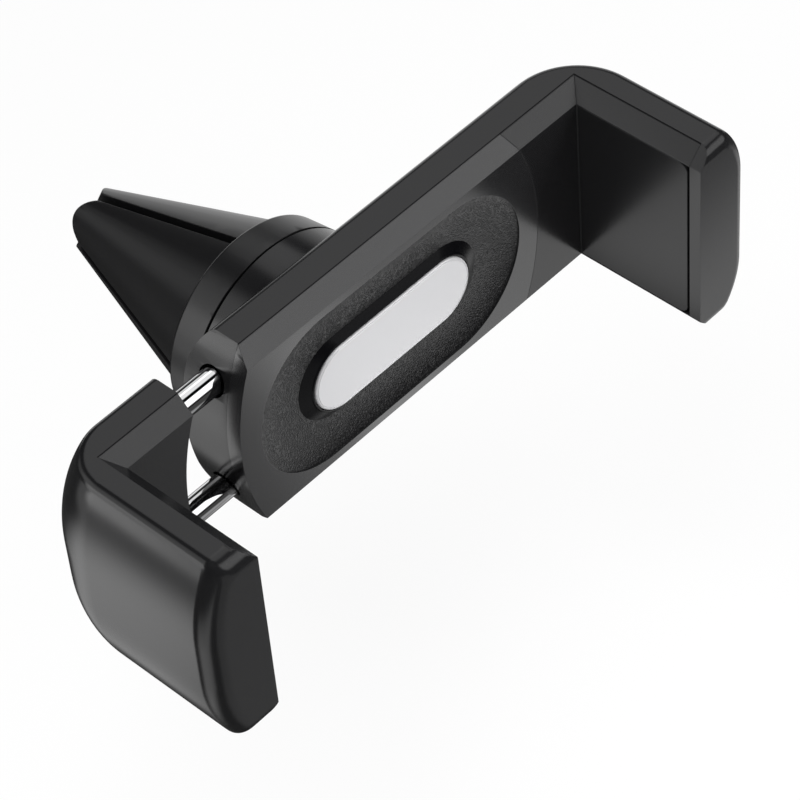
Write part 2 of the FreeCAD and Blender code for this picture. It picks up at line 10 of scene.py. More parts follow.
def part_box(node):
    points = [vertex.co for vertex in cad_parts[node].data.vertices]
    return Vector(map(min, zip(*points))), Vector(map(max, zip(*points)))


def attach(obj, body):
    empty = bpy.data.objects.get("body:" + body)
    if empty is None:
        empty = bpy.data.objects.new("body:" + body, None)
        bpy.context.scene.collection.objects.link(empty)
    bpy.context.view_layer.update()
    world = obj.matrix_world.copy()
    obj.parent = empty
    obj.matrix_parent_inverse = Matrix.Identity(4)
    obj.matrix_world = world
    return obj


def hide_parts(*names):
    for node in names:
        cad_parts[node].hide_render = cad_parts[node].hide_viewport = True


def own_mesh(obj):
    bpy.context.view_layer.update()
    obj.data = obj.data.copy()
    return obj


bl_info = {
    "name": "Air Vent Phone Holder",
    "version": (1, 0, 0),
    "blender": (4, 5, 0),
    "location": "3D View > Sidebar > Holder",
    "description": "Adds the finishes, details and stage of an air vent phone holder",
    "category": "Object",
}

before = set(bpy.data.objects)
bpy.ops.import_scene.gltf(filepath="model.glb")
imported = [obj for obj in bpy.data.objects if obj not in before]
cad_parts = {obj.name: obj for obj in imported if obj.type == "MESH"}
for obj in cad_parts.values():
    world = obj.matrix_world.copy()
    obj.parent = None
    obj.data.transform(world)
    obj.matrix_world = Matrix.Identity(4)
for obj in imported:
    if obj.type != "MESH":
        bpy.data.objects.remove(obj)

MM = 0.001
SHELLS = ("rear_housing", "moving_jaw")
COVERS = ("fixed_jaw_cover", "moving_jaw_cover")
JAW_PADS = ("fixed_jaw_pad", "moving_jaw_pad")
RODS = ("guide_rod_upper", "guide_rod_lower")
BUSHES = ("rod_bush_upper", "rod_bush_lower")
SPRINGS = ("jaw_spring_upper", "jaw_spring_lower")
FASTENERS = ("cover_screws", "moving_jaw_screws", "rod_screws", "pivot_screw", "pivot_washer")

MERGE_DISTANCE = 0.001 * MM
FLAT_ANGLE = math.radians(0.3)      # faces that meet at less than this are one flat face
ROUNDED_ANGLE = math.radians(32)    # edges sharper than this are rounded
OVAL_SHADING_ANGLE = math.radians(35)
COIL_SHADING_ANGLE = math.radians(50)
OVAL_CORNERS = 160                  # corners round one oval outline

# Studio. The floor glows a little to the camera, so that it comes out white with the holder's shadow on it.
FLOOR_GLOW = 0.85
WHITE = 1.0
EVEN_LIGHT = 0.45
LAMPS = (   # name, place in m, width in m, power in W
    ("key", (-0.20, -0.10, 0.60), 0.35, 3.0),
    ("fill", (0.35, -0.55, 0.30), 0.30, 3.0),
)
CAMERA_PLACE = (-0.176825, -0.209886, 0.276382)
CAMERA_TURN = (
    (0.674612, 0.568518, -0.470835),
    (-0.735510, 0.463565, -0.494098),
    (-0.062640, 0.679628, 0.730877),
)
SENSOR_WIDTH = 36.0
LENS = 153.54

# What the holder mirrors. Its plastics are nearly black, so these pale cards give them their shades. They are seen in
# reflections alone. The ground between the floor's cards has a level too.
# Each floor card has a level and edges. An edge is a direction over x, y and the length of the light's path, then the
# distance along it at which the card is dark and that at which it is bright, in mm.
GROUND_LEVEL = 0.05
LEFT_EDGE = (0.45, 0.89, 0, -36, -24)
NEAR_EDGE = (0, 1, 0, -12, 18)
FLOOR_CARDS = (
    # Left, behind the moving jaw
    (0.65, (LEFT_EDGE, NEAR_EDGE, (0.45, 0.89, 0, 58, 12), (-1, 0, 0, 28, 40), (-0.89, 0.45, 0, 250, 190))),
    # Further left
    (0.85, (LEFT_EDGE, NEAR_EDGE, (0.45, 0.89, 0, 70, 5), (-0.89, 0.45, 0, 48, 125), (-0.89, 0.45, 0, 230, 140))),
    # Far left, nearer to the camera
    (0.55, (LEFT_EDGE, (-0.89, 0.45, 0, 180, 240), (-0.83, -0.56, 0, -20, 30))),
    # Furthest left, in line with the slide
    (2.6, ((-0.84, 0.55, 0, 400, 490), (0.55, 0.84, 0, -90, -50), (0.55, 0.84, 0, 90, 50))),
    # Under the clip, for pieces that are far enough above it, which are those of the fixed jaw
    (1.0, ((1, 0, 0, -45, -33), (-1, 0, 0, -14, -2), (0, 1, 0, -16, 0), (0, 1, 0, 40, 26), (0, 0, 1, 85, 91))),
    # Left, in front of the moving jaw
    (0.85, ((-0.83, 0.55, 0, 24, 50), (0, 1, 0, 0, -28), (1, 0, 0, -240, -120))),
    # In front of the plate's left end
    (0.22, ((0.93, -0.37, 0, -26, -8), (0, 1, 0, -44, -66), (1, 0, 0, 52, 34))),
    # In front of the plate and the badge
    (0.82, ((0.81, 0.58, 0, -20, 9), (0, 1, 0, -14, -30), (0, 1, 0, -94, -78), (1, 0, 0, 200, 130))),
    # In front of the pad's left end
    (0.9, ((1, 0, 0, 37, 45), (1, 0, 0, 64, 50), (0, 1, 0, -44, -58), (0, 1, 0, -106, -94))),
    # Right, behind the fixed jaw
    (0.85, ((1, 0, 0, 50, 85), (0, 1, 0, 30, 70))),
)
# Round cards on the walls: direction, angle in degrees inside which the card is full, angle where it ends, level.
# The last one has a negative level: it is a dark hole in the first.
WALL_CARDS = (
    ((0.50, -0.68, 0.53), 18, 29, 1.6),
    ((0.44, 0.57, 0.70), 12, 20, 0.85),
    ((0.47, 0.13, 0.87), 12, 20, 1.0),
    ((0.72, 0.70, -0.10), 10, 30, 0.9),
    ((-0.80, 0.54, 0.20), 12, 22, 2.4),
    ((-0.50, 0.66, 0.56), 10, 24, 1.1),
    ((-0.22, 0.93, 0.29), 4, 16, 0.5),
    ((0.47, -0.40, 0.79), 4, 9, -1.6),
)


def hex_colour(text):
    """Linear red, green, blue and alpha of an sRGB hex value."""
    values = [int(text[i:i + 2], 16) / 255 for i in (1, 3, 5)]
    linear = [v / 12.92 if v <= 0.04045 else ((v + 0.055) / 1.055) ** 2.4 for v in values]
    return linear + [1.0]


class HolderSizes(bpy.types.PropertyGroup):
    """Sizes of the holder's fine details and of the floor"""
    edge_width: bpy.props.FloatProperty(
        name="Edge width", description="Width of the rounding on the shells' moulded edges",
        default=0.09 * MM, unit="LENGTH")
    clip_edge_width: bpy.props.FloatProperty(
        name="Clip edge width", description="Width of the rounding on the clip's fingers",
        default=0.1 * MM, unit="LENGTH")
    pad_rim: bpy.props.FloatProperty(
        name="Pad rim", description="Width of the thin rim by which the grained pad covers its gap",
        default=0.12 * MM, unit="LENGTH")
    grain_width: bpy.props.FloatProperty(
        name="Grain width", description="Width of one pebble of the pad's leather grain",
        default=0.33 * MM, unit="LENGTH")
    grain_depth: bpy.props.FloatProperty(
        name="Grain depth", description="Depth of the pad's leather grain",
        default=0.032 * MM, unit="LENGTH")
    pedestal_height: bpy.props.FloatProperty(
        name="Pedestal height", description="Height of the pedestal's slope above the pad",
        default=0.68 * MM, unit="LENGTH")
    ledge_width: bpy.props.FloatProperty(
        name="Ledge width", description="Width of the ledge between the pedestal's slope and the badge",
        default=0.3 * MM, unit="LENGTH")
    badge_roll: bpy.props.FloatProperty(
        name="Badge roll", description="Width of the bright rolled edge round the badge",
        default=0.22 * MM, unit="LENGTH")
    badge_gap: bpy.props.FloatProperty(
        name="Badge gap", description="Width of the gap between badge and pedestal",
        default=0.12 * MM, unit="LENGTH")
    texture_width: bpy.props.FloatProperty(
        name="Mould texture width", description="Width of the fine bumps on the moulded plastic",
        default=0.35 * MM, unit="LENGTH")
    floor_drop: bpy.props.FloatProperty(
        name="Floor drop", description="Distance from the holder's axis down to the floor",
        default=75.0 * MM, unit="LENGTH")
    floor_size: bpy.props.FloatProperty(
        name="Floor size", description="Width of the square floor",
        default=4.0, unit="LENGTH")


class HolderColours(bpy.types.PropertyGroup):
    """Colours of the holder's pieces and of the floor"""
    shell: bpy.props.FloatVectorProperty(
        name="Shell", description="Black ABS of the housing and the moving jaw",
        default=hex_colour("#19191a"), size=4, subtype="COLOR")
    cover: bpy.props.FloatVectorProperty(
        name="Cover", description="Black ABS of the jaws' inner covers and elastomer of the jaws' pads",
        default=hex_colour("#19191a"), size=4, subtype="COLOR")
    # Partly painted light: the front cover's paler colour marks it as a separate moulding and also stands in for the
    # brighter light on the plate's front and facets.
    front: bpy.props.FloatVectorProperty(
        name="Front", description="Paler black ABS of the plate's front cover",
        default=hex_colour("#1f1f20"), size=4, subtype="COLOR")
    clip: bpy.props.FloatVectorProperty(
        name="Clip", description="Black nylon of the vent clip",
        default=hex_colour("#161617"), size=4, subtype="COLOR")
    pad: bpy.props.FloatVectorProperty(
        name="Pad", description="Black elastomer of the grained pad",
        default=hex_colour("#1b1b1c"), size=4, subtype="COLOR")
    # Painted shade: the pad's colour is darker at the bottom of its grain's wrinkles, where shade falls.
    painted_wrinkle_shade: bpy.props.FloatVectorProperty(
        name="Wrinkle", description="Darker bottom of the wrinkles in the grained pad",
        default=hex_colour("#0c0c0d"), size=4, subtype="COLOR")
    pedestal: bpy.props.FloatVectorProperty(
        name="Pedestal", description="Black ABS of the badge's pedestal",
        default=hex_colour("#08080a"), size=4, subtype="COLOR")
    badge: bpy.props.FloatVectorProperty(
        name="Badge", description="Silver of the anodised badge",
        default=hex_colour("#e7e7e9"), size=4, subtype="COLOR")
    chrome: bpy.props.FloatVectorProperty(
        name="Chrome", description="Chrome plating of the guide rods",
        default=hex_colour("#f9f9fa"), size=4, subtype="COLOR")
    inner: bpy.props.FloatVectorProperty(
        name="Inner", description="Grey acetal of the crosshead inside the housing",
        default=hex_colour("#505050"), size=4, subtype="COLOR")
    zinc: bpy.props.FloatVectorProperty(
        name="Zinc", description="Zinc plating of the screws and the washer",
        default=hex_colour("#b4b4b6"), size=4, subtype="COLOR")
    spring: bpy.props.FloatVectorProperty(
        name="Spring", description="Drawn steel wire of the springs",
        default=hex_colour("#a8a8aa"), size=4, subtype="COLOR")
    brass: bpy.props.FloatVectorProperty(
        name="Brass", description="Brass of the rods' bushes",
        default=hex_colour("#d8b56a"), size=4, subtype="COLOR")
    floor: bpy.props.FloatVectorProperty(
        name="Floor", description="Pale studio floor",
        default=hex_colour("#f4f4f4"), size=4, subtype="COLOR")


def sizes():
    return bpy.context.scene.holder_sizes


def colours():
    return bpy.context.scene.holder_colours


def add_node(tree, kind, settings=None, links=None):
    """Adds a node, sets its attributes and inputs by name, and links its inputs to outputs."""
    node = tree.nodes.new(kind)
    for name, value in (settings or {}).items():
        if hasattr(node, name):
            setattr(node, name, value)
        else:
            node.inputs[name].default_value = value
    for name, output in (links or {}).items():
        tree.links.new(output, node.inputs[name])
    return node


def combine(tree, operation, first, second):
    """Output of a sum on first, an output, and second, an output or a number."""
    node = add_node(tree, "ShaderNodeMath", {"operation": operation})
    tree.links.new(first, node.inputs[0])
    if isinstance(second, (int, float)):
        node.inputs[1].default_value = second
    else:
        tree.links.new(second, node.inputs[1])
    return node.outputs["Value"]


def product(tree, first, second):
    return combine(tree, "MULTIPLY", first, second)


def total(tree, first, second):
    return combine(tree, "ADD", first, second)


def along(tree, place, direction):
    """How far a place lies along a direction."""
    node = add_node(tree, "ShaderNodeVectorMath", {"operation": "DOT_PRODUCT"})
    tree.links.new(place, node.inputs[0])
    node.inputs[1].default_value = direction
    return node.outputs["Value"]


def fade(tree, value, dark, bright):
    """Rises softly from 0 where the value is dark to 1 where it is bright."""
    if dark < bright:
        ends = {"From Min": dark, "From Max": bright}
    else:
        ends = {"From Min": bright, "From Max": dark, "To Min": 1.0, "To Max": 0.0}
    node = add_node(tree, "ShaderNodeMapRange", {"interpolation_type": "SMOOTHSTEP", **ends}, {"Value": value})
    return node.outputs["Result"]


def find_node(tree, kind):
    return next(node for node in tree.nodes if node.type == kind)


def new_material(name, colour, roughness, ior=1.5, metallic=0.0):
    """A material with a Principled shader; returns it, its tree, shader and object coordinates."""
    material = bpy.data.materials.new(name)
    material.use_nodes = True
    tree = material.node_tree
    tree.nodes.clear()
    output = add_node(tree, "ShaderNodeOutputMaterial")
    shader = add_node(tree, "ShaderNodeBsdfPrincipled", {
        "Base Color": colour, "Roughness": roughness, "IOR": ior, "Metallic": metallic})
    tree.links.new(shader.outputs["BSDF"], output.inputs["Surface"])
    place = add_node(tree, "ShaderNodeTexCoord").outputs["Object"]
    return material, tree, shader, place


def moulded_plastic(name, colour, roughness, ior):
    """Injection-moulded plastic. The tool's fine spark-eroded texture softens its gloss, which varies a little over
    about 14 mm as the plastic cooled. The real texture is too fine to show, so it is drawn at 0.35 mm."""
    material, tree, shader, place = new_material(name, colour, roughness, ior)
    noise = add_node(tree, "ShaderNodeTexNoise", {
        "Scale": 1.0 / sizes().texture_width, "Detail": 2.0, "Roughness": 0.5}, {"Vector": place})
    bump = add_node(tree, "ShaderNodeBump", {"Strength": 0.1, "Distance": 0.01 * MM},
                    {"Height": noise.outputs["Fac"]})
    tree.links.new(bump.outputs["Normal"], shader.inputs["Normal"])
    gloss = add_node(tree, "ShaderNodeTexNoise", {
        "Scale": 1.0 / (14.0 * MM), "Detail": 2.0}, {"Vector": place})
    spread = add_node(tree, "ShaderNodeMapRange", {
        "To Min": roughness - 0.02, "To Max": roughness + 0.02}, {"Value": gloss.outputs["Fac"]})
    tree.links.new(spread.outputs["Result"], shader.inputs["Roughness"])
    return material


def coated_abs_and_painted_light():
    """ABS with a thin satin lacquer, brighter at a slant. Its colour is a little paler than the shells': partly a
    separate moulding, partly painted light standing in for the brighter light on the plate's front and facets.
    """
    material = moulded_plastic("coated_abs_and_painted_light", colours().front, 0.2, 1.54)
    shader = find_node(material.node_tree, "BSDF_PRINCIPLED")
    shader.inputs["Coat Weight"].default_value = 0.45
    shader.inputs["Coat Roughness"].default_value = 0.2
    return material


def polished_abs():
    """Deep black ABS from a polished tool: its slopes stay nearly black, with a faint sheen at the ends."""
    material = moulded_plastic("polished_abs", colours().pedestal, 0.25, 1.45)
    shader = find_node(material.node_tree, "BSDF_PRINCIPLED")
    shader.inputs["Specular IOR Level"].default_value = 0.28
    return material


def grained_elastomer():
    """Thermoplastic elastomer with a leather grain: small pebbles, with a darker colour painted into the wrinkles
    between them as shade.
    The grain breaks up the reflections into a fine sparkle."""
    material, tree, shader, place = new_material("grained_elastomer", colours().pad, 0.3, 1.5)
    width = sizes().grain_width
    warp = add_node(tree, "ShaderNodeTexNoise", {"Scale": 0.6 / width, "Detail": 2.0}, {"Vector": place})
    offset = add_node(tree, "ShaderNodeVectorMath", {"operation": "SCALE", "Scale": 0.9 * width},
                      {"Vector": warp.outputs["Color"]})
    moved = add_node(tree, "ShaderNodeVectorMath", {"operation": "ADD"})
    tree.links.new(place, moved.inputs[0])
    tree.links.new(offset.outputs["Vector"], moved.inputs[1])
    cells = add_node(tree, "ShaderNodeTexVoronoi", {
        "feature": "DISTANCE_TO_EDGE", "Scale": 1.0 / width}, {"Vector": moved.outputs["Vector"]})
    pebble = add_node(tree, "ShaderNodeMapRange", {
        "From Max": 0.35, "interpolation_type": "SMOOTHSTEP"}, {"Value": cells.outputs["Distance"]})
    bump = add_node(tree, "ShaderNodeBump", {"Strength": 1.0, "Distance": sizes().grain_depth},
                    {"Height": pebble.outputs["Result"]})
    tree.links.new(bump.outputs["Normal"], shader.inputs["Normal"])
    # Painted shade: the hollows between the pebbles take the darker wrinkle colour.
    shade = add_node(tree, "ShaderNodeMixRGB", {
        "Color1": colours().painted_wrinkle_shade, "Color2": colours().pad}, {"Fac": pebble.outputs["Result"]})
    tree.links.new(shade.outputs["Color"], shader.inputs["Base Color"])
    return material


def anodised_silver():
    """Satin anodised aluminium: pale and even, because its clear oxide layer scatters half of the light, with a
    faint grain of 4 by 0.15 mm along its length."""
    material, tree, shader, place = new_material("anodised_silver", colours().badge, 0.45, 1.5, 0.5)
    stretch = add_node(tree, "ShaderNodeMapping", {}, {"Vector": place})
    stretch.inputs["Scale"].default_value = (1.0 / (4.0 * MM), 1.0 / (0.15 * MM), 1.0 / (0.15 * MM))
    grain = add_node(tree, "ShaderNodeTexNoise", {"Scale": 1.0, "Detail": 2.0},
                     {"Vector": stretch.outputs["Vector"]})
    bump = add_node(tree, "ShaderNodeBump", {"Strength": 0.05, "Distance": 0.01 * MM},
                    {"Height": grain.outputs["Fac"]})
    tree.links.new(bump.outputs["Normal"], shader.inputs["Normal"])
    return material


def turned_metal(name, colour, roughness):
    """Metal turned or drawn along x. Its gloss varies with fine rings 0.3 mm apart."""
    material, tree, shader, place = new_material(name, colour, roughness, metallic=1.0)
    stretch = add_node(tree, "ShaderNodeMapping", {}, {"Vector": place})
    stretch.inputs["Scale"].default_value = (1.0 / (0.3 * MM), 1.0 / (3.0 * MM), 1.0 / (3.0 * MM))
    lines = add_node(tree, "ShaderNodeTexNoise", {"Scale": 1.0, "Detail": 2.0},
                     {"Vector": stretch.outputs["Vector"]})
    spread = add_node(tree, "ShaderNodeMapRange", {
        "To Min": roughness * 0.8, "To Max": roughness * 1.2}, {"Value": lines.outputs["Fac"]})
    tree.links.new(spread.outputs["Result"], shader.inputs["Roughness"])
    return material


def dress(material, *nodes):
    """Puts the material on CAD nodes."""
    for name in nodes:
        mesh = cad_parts[name].data
        mesh.materials.clear()
        mesh.materials.append(material)


def stand_in(piece, node, body, material):
    """Gives a finished piece its material, hides the CAD node it stands in for and hangs the piece on the body."""
    piece.data.materials.clear()
    piece.data.materials.append(material)
    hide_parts(node)
    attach(piece, body)


def oval_of(node):
    """Centre in x, straight length and end radius of an oval CAD node that lies across y."""
    low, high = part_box(node)
    radius = (high[2] - low[2]) / 2
    return (low[0] + high[0]) / 2, high[0] - low[0] - 2 * radius, radius


def start_oval(name, centre_x, straight, radius, depth):
    """An open oval outline at y = depth, made from a circle whose halves are moved apart."""
    bpy.ops.object.select_all(action="DESELECT")
    # Half a step of turn puts no corner on the middle line, where it would belong to neither half.
    bpy.ops.mesh.primitive_circle_add(
        vertices=OVAL_CORNERS, radius=radius, location=(centre_x, depth, 0),
        rotation=(math.pi / 2, math.pi / OVAL_CORNERS, 0))
    piece = bpy.context.active_object
    piece.name = name
    bpy.ops.object.transform_apply(location=True, rotation=True, scale=True)
    bpy.ops.object.mode_set(mode="EDIT")
    spread_halves(piece, centre_x, straight / 2)
    bpy.ops.mesh.select_all(action="SELECT")
    return piece


def spread_halves(piece, centre_x, distance):
    """Moves the selected outline's right half by distance and its left half by as much the other way."""
    mesh = bmesh.from_edit_mesh(piece.data)
    outline = [vertex for vertex in mesh.verts if vertex.select]
    sides = [(vertex, 1 if vertex.co.x > centre_x else -1) for vertex in outline]
    for way in (-1, 1):
        for vertex, side in sides:
            vertex.select_set(side == way)
        mesh.select_flush_mode()
        bmesh.update_edit_mesh(piece.data)
        bpy.ops.transform.translate(value=(way * distance, 0, 0))
    for vertex, side in sides:
        vertex.select_set(True)
    mesh.select_flush_mode()
    bmesh.update_edit_mesh(piece.data)


def next_ring(piece, centre_x, last, ring):
    """Extrudes the selected outline to the next ring; a ring is straight length, radius and depth."""
    bpy.ops.mesh.extrude_region_move()
    spread_halves(piece, centre_x, -last[0] / 2)
    factor = ring[1] / last[1]
    bpy.ops.transform.resize(value=(factor, 1, factor), center_override=(centre_x, last[2], 0))
    spread_halves(piece, centre_x, ring[0] / 2)
    bpy.ops.transform.translate(value=(0, ring[2] - last[2], 0))


def oval_piece(name, centre_x, rings):
    """A closed solid of revolution stretched to an oval, drawn through its rings."""
    piece = start_oval(name, centre_x, *rings[0])
    for last, ring in zip(rings, rings[1:]):
        next_ring(piece, centre_x, last, ring)
    bpy.ops.mesh.select_all(action="SELECT")
    bpy.ops.mesh.remove_doubles(threshold=MERGE_DISTANCE)
    bpy.ops.mesh.fill_holes(sides=0)
    bpy.ops.mesh.select_all(action="SELECT")
    bpy.ops.mesh.normals_make_consistent(inside=False)
    bpy.ops.object.mode_set(mode="OBJECT")
    bpy.ops.object.shade_smooth_by_angle(angle=OVAL_SHADING_ANGLE)
    return piece


def rounded(straight, radius, depth, roll, steps):
    """Rings of a quarter round from an oval's side wall over to its front."""
    rings = []
    for step in range(steps + 1):
        turn = math.pi / 2 * step / steps
        rings.append((straight, radius - roll * (1 - math.cos(turn)), depth + roll * (1 - math.sin(turn))))
    return rings


class HOLDER_OT_finishes(bpy.types.Operator):
    """Gives every CAD piece its finish"""
    bl_idname = "holder.finishes"
    bl_label = "Finishes"

    def execute(self, context):
        shades = colours()
        # ABS of the shells and covers: black, with soft broad reflections.
        dress(moulded_plastic("satin_abs", shades.shell, 0.2, 1.54), *SHELLS)
        dress(moulded_plastic("satin_cover_abs", shades.cover, 0.2, 1.54), *COVERS)
        # The front cover's paler colour is partly painted light.
        dress(coated_abs_and_painted_light(), "front_cover")
        # Glass-filled nylon: duller than ABS, so the cone's highlights are wider.
        dress(moulded_plastic("satin_nylon", shades.clip, 0.3, 1.53), "vent_clip")
        # Natural acetal: grey and waxy.
        dress(moulded_plastic("plain_acetal", shades.inner, 0.4, 1.48), "crosshead")
        # Thermoplastic elastomer moulded smooth: close to the covers, a little softer in its reflections.
        dress(moulded_plastic("smooth_elastomer", shades.cover, 0.26, 1.5), *JAW_PADS, "friction_ring")
        # Chrome plating on ground steel: a mirror that shows the studio as streaks along the rods.
        dress(turned_metal("chrome_plate", shades.chrome, 0.03), *RODS)
        # Zinc plating: pale grey and half dull.
        dress(turned_metal("zinc_plate", shades.zinc, 0.3), *FASTENERS)
        # Turned brass: warm yellow and half dull.
        dress(turned_metal("plain_brass", shades.brass, 0.3), *BUSHES)
        return {"FINISHED"}


class HOLDER_OT_edges(bpy.types.Operator):
    """Rounds the sharp edges of the moulded CAD pieces a little"""
    bl_idname = "holder.edges"
    bl_label = "Edges"

    def execute(self, context):
        for name in SHELLS + COVERS + ("front_cover",) + JAW_PADS:
            self.soften(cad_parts[name], sizes().edge_width)
        self.soften(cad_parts["vent_clip"], sizes().clip_edge_width)
        return {"FINISHED"}

    def soften(self, node, width):
        weld = node.modifiers.new("merge", "WELD")
        weld.merge_threshold = MERGE_DISTANCE
        flat = node.modifiers.new("flatten", "DECIMATE")
        flat.decimate_type = "DISSOLVE"
        flat.angle_limit = FLAT_ANGLE
        bevel = node.modifiers.new("edges", "BEVEL")
        bevel.width = width
        bevel.segments = 2
        bevel.limit_method = "ANGLE"
        bevel.angle_limit = ROUNDED_ANGLE
        shading = node.modifiers.new("shading", "WEIGHTED_NORMAL")
        shading.keep_sharp = False


class HOLDER_OT_back_pad(bpy.types.Operator):
    """Models the dished oval pad with its thin rim"""
    bl_idname = "holder.back_pad"
    bl_label = "Back pad"

    dish_steps = 12
    dish_fall = 2.6     # how much of the dish's fall lies near the rim; 1 is an even slope

    def execute(self, context):
        low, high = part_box("back_pad")
        centre_x, straight, radius = oval_of("back_pad")
        _, inner_straight, inner_radius = oval_of("badge_pedestal")
        rim = sizes().pad_rim
        outer_radius = radius + rim
        dish_top = low[1] + 0.1 * rim
        dish_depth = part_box("badge_pedestal")[0][1] + sizes().pedestal_height - low[1]
        rings = [(straight, radius, high[1]), (straight, radius, low[1] + rim), (straight, outer_radius, dish_top)]
        for step in range(1, self.dish_steps + 1):
            part = step / self.dish_steps
            fall = 1 - (1 - part) ** self.dish_fall
            rings.append((straight + (inner_straight - straight) * part,
                          outer_radius + (inner_radius - outer_radius) * part,
                          dish_top + dish_depth * fall))
        rings.append((inner_straight, inner_radius, high[1]))
        rings.append(rings[0])
        piece = oval_piece("grained_back_pad", centre_x, rings)
        stand_in(piece, "back_pad", "cradle", grained_elastomer())
        return {"FINISHED"}


class HOLDER_OT_pedestal(bpy.types.Operator):
    """Models the gloss pedestal with its rounded ledge and the gap round the badge"""
    bl_idname = "holder.pedestal"
    bl_label = "Badge pedestal"

    def execute(self, context):
        low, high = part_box("badge_pedestal")
        centre_x, base_straight, base_radius = oval_of("badge_pedestal")
        _, straight, badge_radius = oval_of("badge_plate")
        gap = badge_radius + sizes().badge_gap
        roll = 0.4 * sizes().ledge_width
        lip = 0.3 * roll
        rings = [(base_straight, base_radius, high[1]),
                 (base_straight, base_radius, low[1] + sizes().pedestal_height)]
        rings += rounded(straight, gap + sizes().ledge_width, low[1], roll, 3)
        rings.append((straight, gap + lip, low[1]))
        rings.append((straight, gap, low[1] + lip))
        rings.append((straight, gap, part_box("badge_plate")[1][1]))
        piece = oval_piece("gloss_pedestal", centre_x, rings)
        stand_in(piece, "badge_pedestal", "cradle", polished_abs())
        return {"FINISHED"}


class HOLDER_OT_badge(bpy.types.Operator):
    """Models the plain silver badge with its rolled edge and the fine groove inside it"""
    bl_idname = "holder.badge"
    bl_label = "Badge"

    def execute(self, context):
        low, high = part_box("badge_plate")
        centre_x, straight, radius = oval_of("badge_plate")
        roll = sizes().badge_roll
        groove = 0.3 * roll
        rings = [(straight, radius, high[1])] + rounded(straight, radius, low[1], roll, 5)
        rings.append((straight, radius - roll - groove, low[1] + 1.2 * groove))
        rings.append((straight, radius - roll - 2 * groove, low[1]))
        piece = oval_piece("silver_badge", centre_x, rings)
        stand_in(piece, "badge_plate", "cradle", anodised_silver())
        return {"FINISHED"}


class HOLDER_OT_springs(bpy.types.Operator):
    """Makes the jaw's two springs between the housing and the crosshead from the CAD coils; in the holder they
    shorten as the jaw is pulled out, but these stay as modelled
    """
    bl_idname = "holder.springs"
    bl_label = "Jaw springs"

    def execute(self, context):
        # Hard-drawn steel wire: grey, with a soft shine from the die.
        wire = turned_metal("drawn_spring_steel", colours().spring, 0.25)
        for name in SPRINGS:
            piece = self.copy_coil(context, name)
            stand_in(piece, name, "cradle", wire)
            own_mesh(piece)
        return {"FINISHED"}

    def copy_coil(self, context, name):
        """A copy of the CAD spring with its loose triangles merged."""
        piece = bpy.data.objects.new(name + "_coil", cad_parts[name].data.copy())
        context.scene.collection.objects.link(piece)
        bpy.ops.object.select_all(action="DESELECT")
        piece.select_set(True)
        context.view_layer.objects.active = piece
        bpy.ops.mesh.customdata_custom_splitnormals_clear()
        bpy.ops.object.mode_set(mode="EDIT")
        bpy.ops.mesh.select_all(action="SELECT")
        bpy.ops.mesh.remove_doubles(threshold=MERGE_DISTANCE)
        bpy.ops.object.mode_set(mode="OBJECT")
        bpy.ops.object.shade_smooth_by_angle(angle=COIL_SHADING_ANGLE)
        return piece


